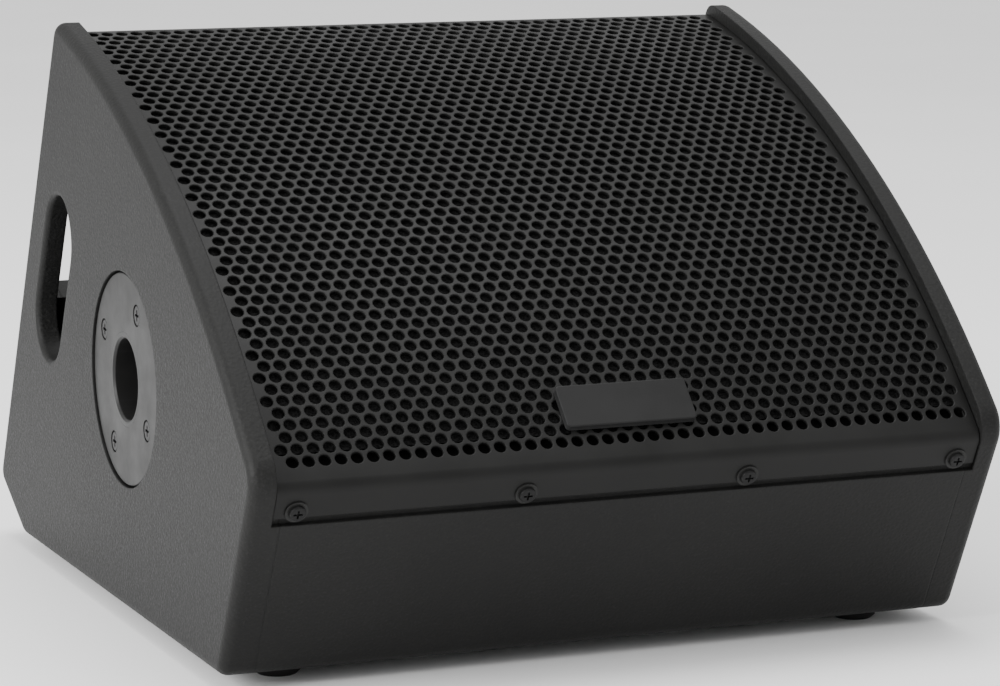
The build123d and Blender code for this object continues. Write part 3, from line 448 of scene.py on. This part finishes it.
def perforated_grille():
    """The steel grille with every hole cut through, its plain margins, bends and flanges."""
    outer, below, above, low_angle, high_angle = grille_profile()

    def lift(x, along, depth):
        """A point of the sheet, from its place across and up it, that deep below its outer face."""
        angle = FIRST_ROW_ANGLE - along / outer
        spot = on_curve(outer - depth, angle)
        return (x, spot.x, spot.y)

    verts = []
    faces = []

    def add_ring(loop_a, loop_b):
        """Quads between two closed loops of vertex numbers."""
        count = len(loop_a)
        for index in range(count):
            following = (index + 1) % count
            faces.append((loop_a[index], loop_a[following], loop_b[following], loop_b[index]))

    def add_strip(line_a, line_b):
        """Quads between two open lines of vertex numbers."""
        for index in range(len(line_a) - 1):
            faces.append((line_a[index], line_a[index + 1], line_b[index + 1], line_b[index]))

    def number(point):
        """Adds a vertex and gives its number."""
        verts.append(point)
        return len(verts) - 1

    half = PITCH / 2
    corner_r = PITCH / sqrt(3)
    for row in range(ROWS):
        along = row * ROW_STEP
        first = FIRST_HOLE_X - (row % 2) * half
        for column in range(HOLES_PER_ROW):
            x = first + column * PITCH
            cell = []
            hole = []
            # The hexagonal cell's corners and its sides' middles take turns round the hole.
            for side in range(HOLE_SIDES):
                angle = 2 * pi * side / HOLE_SIDES + pi / 6
                reach = corner_r if side % 2 == 0 else half
                cell.append((x + cos(angle) * reach, along + sin(angle) * reach))
                hole.append((x + cos(angle) * HOLE_R, along + sin(angle) * HOLE_R))
            wider = 1 + RIM / HOLE_R
            rim = [(x + (u - x) * wider, along + (v - along) * wider) for u, v in hole]
            outer_cell = [number(lift(u, v, 0)) for u, v in cell]
            outer_rim = [number(lift(u, v, 0)) for u, v in rim]
            outer_hole = [number(lift(u, v, RIM * 0.7)) for u, v in hole]
            inner_hole = [number(lift(u, v, SHEET)) for u, v in hole]
            inner_cell = [number(lift(u, v, SHEET)) for u, v in cell]
            add_ring(outer_cell, outer_rim)
            add_ring(outer_rim, outer_hole)
            add_ring(outer_hole, inner_hole)
            add_ring(inner_hole, inner_cell)

    # The plain margins join the holes' cells to the sheet's edges.
    low_reach = (FIRST_ROW_ANGLE - low_angle) * outer
    high_reach = (FIRST_ROW_ANGLE - high_angle) * outer
    last = (ROWS - 1) * ROW_STEP

    def side_line(way):
        """Where the cells end at one side, from the bottom row to the top one."""
        line = []
        for row in range(ROWS):
            middle = FIRST_HOLE_X - (row % 2) * half
            if way > 0:
                middle += (HOLES_PER_ROW - 1) * PITCH
            for v in (-corner_r / 2, 0, corner_r / 2):
                line.append((middle + way * half, row * ROW_STEP + v))
            if row < ROWS - 1:
                shift = half / 2 if row % 2 else -half / 2
                line.append((middle + way * half + shift, row * ROW_STEP + corner_r * 0.75))
        return line

    def end_line(row, way):
        """Where the cells end at the bottom (way -1) or the top (way 1), from left to right."""
        line = []
        for column in range(HOLES_PER_ROW):
            x = FIRST_HOLE_X - (row % 2) * half + column * PITCH
            line.append((x - half, row * ROW_STEP + way * corner_r / 2))
            line.append((x - half / 2, row * ROW_STEP + way * corner_r * 0.75))
            line.append((x, row * ROW_STEP + way * corner_r))
            line.append((x + half / 2, row * ROW_STEP + way * corner_r * 0.75))
        line.append((x + half, row * ROW_STEP + way * corner_r / 2))
        return line

    for depth in (0, SHEET):
        for way in (-1, 1):
            line = side_line(way)
            inner = [number(lift(u, v, depth)) for u, v in line]
            edge = [number(lift(way * GRILLE_HALF, v, depth)) for u, v in line]
            add_strip(inner, edge)
        for row, way, reach in ((0, -1, low_reach), (ROWS - 1, 1, high_reach)):
            line = end_line(row, way)
            cells = [number(lift(u, v, depth)) for u, v in line]
            columns = [u for u, v in line]
            end_row = [number(lift(u, reach, depth)) for u in columns]
            add_strip(cells, end_row)
            # Corners between the side margins and the end margins.
            for side, index in ((-1, 0), (1, -1)):
                u, v = line[index]
                corner = [
                    number(lift(u, v, depth)),
                    number(lift(side * GRILLE_HALF, v, depth)),
                    number(lift(side * GRILLE_HALF, reach, depth)),
                    number(lift(u, reach, depth)),
                ]
                faces.append(tuple(corner))
            profile = below if way < 0 else above
            columns = [-GRILLE_HALF] + columns + [GRILLE_HALF]
            rows = []
            for spot, normal in profile:
                place = spot - normal * depth
                rows.append([number((u, place.x, place.y)) for u in columns])
            for first_row, second_row in zip(rows, rows[1:]):
                add_strip(first_row, second_row)

    # The sheet's cut edges: both flange ends and both sides.
    for spot, normal in (below[0], above[-1]):
        end_row = 0 if spot is below[0][0] else ROWS - 1
        columns = [-GRILLE_HALF] + [u for u, v in end_line(end_row, 1)] + [GRILLE_HALF]
        outer_edge = [number((u, spot.x, spot.y)) for u in columns]
        place = spot - normal * SHEET
        inner_edge = [number((u, place.x, place.y)) for u in columns]
        add_strip(outer_edge, inner_edge)
    for way in (-1, 1):
        x = way * GRILLE_HALF
        side = list(below)
        alongs = [end_line(0, -1)[0 if way < 0 else -1][1]]
        alongs += [v for u, v in side_line(way)]
        alongs += [end_line(ROWS - 1, 1)[0 if way < 0 else -1][1]]
        for along in alongs:
            angle = FIRST_ROW_ANGLE - along / outer
            normal = Vector((cos(angle), sin(angle)))
            side.append((on_curve(outer, angle), normal))
        side += list(above)
        outer_edge = [number((x, s.x, s.y)) for s, n in side]
        inner_edge = [number((x, (s - n * SHEET).x, (s - n * SHEET).y)) for s, n in side]
        add_strip(outer_edge, inner_edge)
    return new_piece("grille_sheet", verts, faces, GRILLE)


grille = perforated_grille()
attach(grille, "cabinet")
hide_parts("grille")


def foam_sheet():
    """Open-cell foam behind the grille, its face pitted and slightly uneven."""
    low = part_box("grille_foam")[0]
    face_r = FRONT_R - GRILLE_DROP - SHEET - 0.4 * MM
    back_r = face_r - 3.6 * MM
    half = abs(low[0])
    sweep = radians(32.0) / 2
    middle = angle_of((TOP + KICK_TOP) / 2 - CENTRE)
    columns = 150
    rows = 130
    verts = []
    for layer, radius in ((0, face_r), (1, back_r)):
        for row in range(rows + 1):
            angle = middle - sweep + 2 * sweep * row / rows
            for column in range(columns + 1):
                x = -half + 2 * half * column / columns
                pit = 0
                if layer == 0 and 0 < row < rows and 0 < column < columns:
                    pit = abs(noise.noise(Vector((x, angle * radius, 0)) * 420)) * 0.9 * MM
                spot = on_curve(radius - pit, angle)
                verts.append((x, spot.x, spot.y))
    faces = []
    layer_size = (rows + 1) * (columns + 1)
    for layer in (0, 1):
        for row in range(rows):
            for column in range(columns):
                a = layer * layer_size + row * (columns + 1) + column
                faces.append((a, a + 1, a + columns + 2, a + columns + 1))
    for row in range(rows):
        for column in (0, columns):
            a = row * (columns + 1) + column
            faces.append((a, a + columns + 1, a + columns + 1 + layer_size, a + layer_size))
    for column in range(columns):
        for row in (0, rows):
            a = row * (columns + 1) + column
            faces.append((a, a + 1, a + 1 + layer_size, a + layer_size))
    return new_piece("grille_backing", verts, faces, FOAM)


foam = foam_sheet()
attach(foam, "cabinet")
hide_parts("grille_foam")


def amp_point(x, down, out):
    """A point on the amplifier module's face, raised that far out of it."""
    spot = line_point(TOP, KNEE, down, out - AMP_INSET)
    return (x, spot.x, spot.y)


def turned_rings(name, places, profile, sides, material):
    """The same ring about each place on the amplifier, from its closed (radius, height) profile."""
    verts = []
    faces = []
    for x, down in places:
        start = len(verts)
        for side in range(sides):
            angle = 2 * pi * side / sides
            verts += [amp_point(x + r * cos(angle), down + r * sin(angle), out) for r, out in profile]
        for side in range(sides):
            this = start + side * len(profile)
            following = start + (side + 1) % sides * len(profile)
            for index in range(len(profile)):
                after = (index + 1) % len(profile)
                faces.append((this + index, this + after, following + after, following + index))
    return new_piece(name, verts, faces, material)


def knob_marks():
    """Printed marks round each knob's travel."""
    verts = []
    faces = []
    box_faces = ((0, 1, 2, 3), (4, 5, 6, 7), (0, 1, 5, 4), (1, 2, 6, 5), (2, 3, 7, 6), (3, 0, 4, 7))
    for x, down in KNOB_PLACES:
        for mark in range(MARKS_PER_KNOB):
            angle = radians(-150 + 300 * mark / (MARKS_PER_KNOB - 1))
            reach = 12.2 * MM if mark in (0, MARKS_PER_KNOB // 2, MARKS_PER_KNOB - 1) else 11.4 * MM
            start = len(verts)
            for out in (0.02 * MM, 0.1 * MM):
                for radius, aside in ((10 * MM, -1), (reach, -1), (reach, 1), (10 * MM, 1)):
                    across = aside * 0.3 * MM
                    u = x + radius * sin(angle) + across * cos(angle)
                    v = down - radius * cos(angle) + across * sin(angle)
                    verts.append(amp_point(u, v, out))
            faces += [tuple(start + index for index in face) for face in box_faces]
    return new_piece("knob_marks", verts, faces, PRINT)


INSERT_PROFILE = [
    (3.2 * MM, -12.9 * MM),
    (9.2 * MM, -12.9 * MM),
    (9.2 * MM, -7.0 * MM),
    (8.8 * MM, -6.6 * MM),
    (3.6 * MM, -6.6 * MM),
    (3.2 * MM, -7.0 * MM),
]
PIN_PROFILE = [(0.7 * MM, -7 * MM), (1.25 * MM, -7 * MM), (1.25 * MM, -6.3 * MM), (0.7 * MM, -6.3 * MM)]
PIN_PLACES = [
    (x + 6.3 * MM * cos(turn), down + 6.3 * MM * sin(turn))
    for x, down in INPUT_PLACES
    for turn in (radians(30), radians(150), radians(270))
]
for piece, slot in (
    (turned_rings("socket_inserts", INPUT_PLACES, INSERT_PROFILE, 40, PLASTIC), "connector_plastic"),
    (turned_rings("socket_contacts", PIN_PLACES, PIN_PROFILE, 16, NICKEL), "latch_metal"),
    (knob_marks(), "amp_paint"),
):
    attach(piece, "cabinet")


# ---------------------------------------------------------------- floor, light and camera
def add_floor():
    """Pale ground under the cabinet."""
    mesh = bpy.data.meshes.new("floor")
    reach = 6.0
    corners = [(-reach, -reach, 0), (reach, -reach, 0), (reach, reach, 0), (-reach, reach, 0)]
    mesh.from_pydata(corners, [], [(0, 1, 2, 3)])
    floor = bpy.data.objects.new("floor", mesh)
    bpy.context.scene.collection.objects.link(floor)
    material, tree, shader, coords = new_material("pale_floor")
    mottle = add_noise(tree, coords, 3, 2, 0.5)
    colour = add_ramp(tree, mottle, ((0.3, (0.93, 0.93, 0.93)), (0.7, (0.96, 0.96, 0.96))))
    tree.links.new(colour, shader.inputs["Base Color"])
    shader.inputs["Roughness"].default_value = 0.9
    mesh.materials.append(material)


def add_light(name, place, target, size, power):
    """A soft round light aimed at a point."""
    data = bpy.data.lights.new(name, "AREA")
    data.shape = "DISK"
    data.size = size
    data.energy = power
    light = bpy.data.objects.new(name, data)
    light.location = place
    light.rotation_euler = (Vector(target) - Vector(place)).to_track_quat("-Z", "Y").to_euler()
    bpy.context.scene.collection.objects.link(light)


def add_world(strength):
    """Even white surroundings."""
    world = bpy.data.worlds.new("studio")
    world.use_nodes = True
    background = world.node_tree.nodes["Background"]
    background.inputs["Color"].default_value = (1, 1, 1, 1)
    background.inputs["Strength"].default_value = strength
    bpy.context.scene.world = world


CAMERA_PLACE = Vector((-0.6445, -1.5786, 0.3928))
CAMERA_WAY = Vector((0.3807, 0.9106, -0.1609))
CAMERA_ROLL = radians(0.2)
CAMERA_LENS = 133.94


def add_camera():
    """The view of the photograph."""
    data = bpy.data.cameras.new("camera")
    data.lens = CAMERA_LENS
    data.sensor_width = 36
    data.clip_start = 0.01
    camera = bpy.data.objects.new("camera", data)
    turn = CAMERA_WAY.to_track_quat("-Z", "Y").to_matrix() @ Matrix.Rotation(CAMERA_ROLL, 3, "Z")
    camera.matrix_world = Matrix.Translation(CAMERA_PLACE) @ turn.to_4x4()
    bpy.context.scene.collection.objects.link(camera)
    bpy.context.scene.camera = camera


add_floor()
add_world(1.15)
add_light("key", (-2.1, -0.4, 1.0), (0, 0, 0.1), 1.3, 66)
add_light("top", (0.1, 0.1, 2.2), (0, 0, 0.1), 1.6, 32)
add_camera()
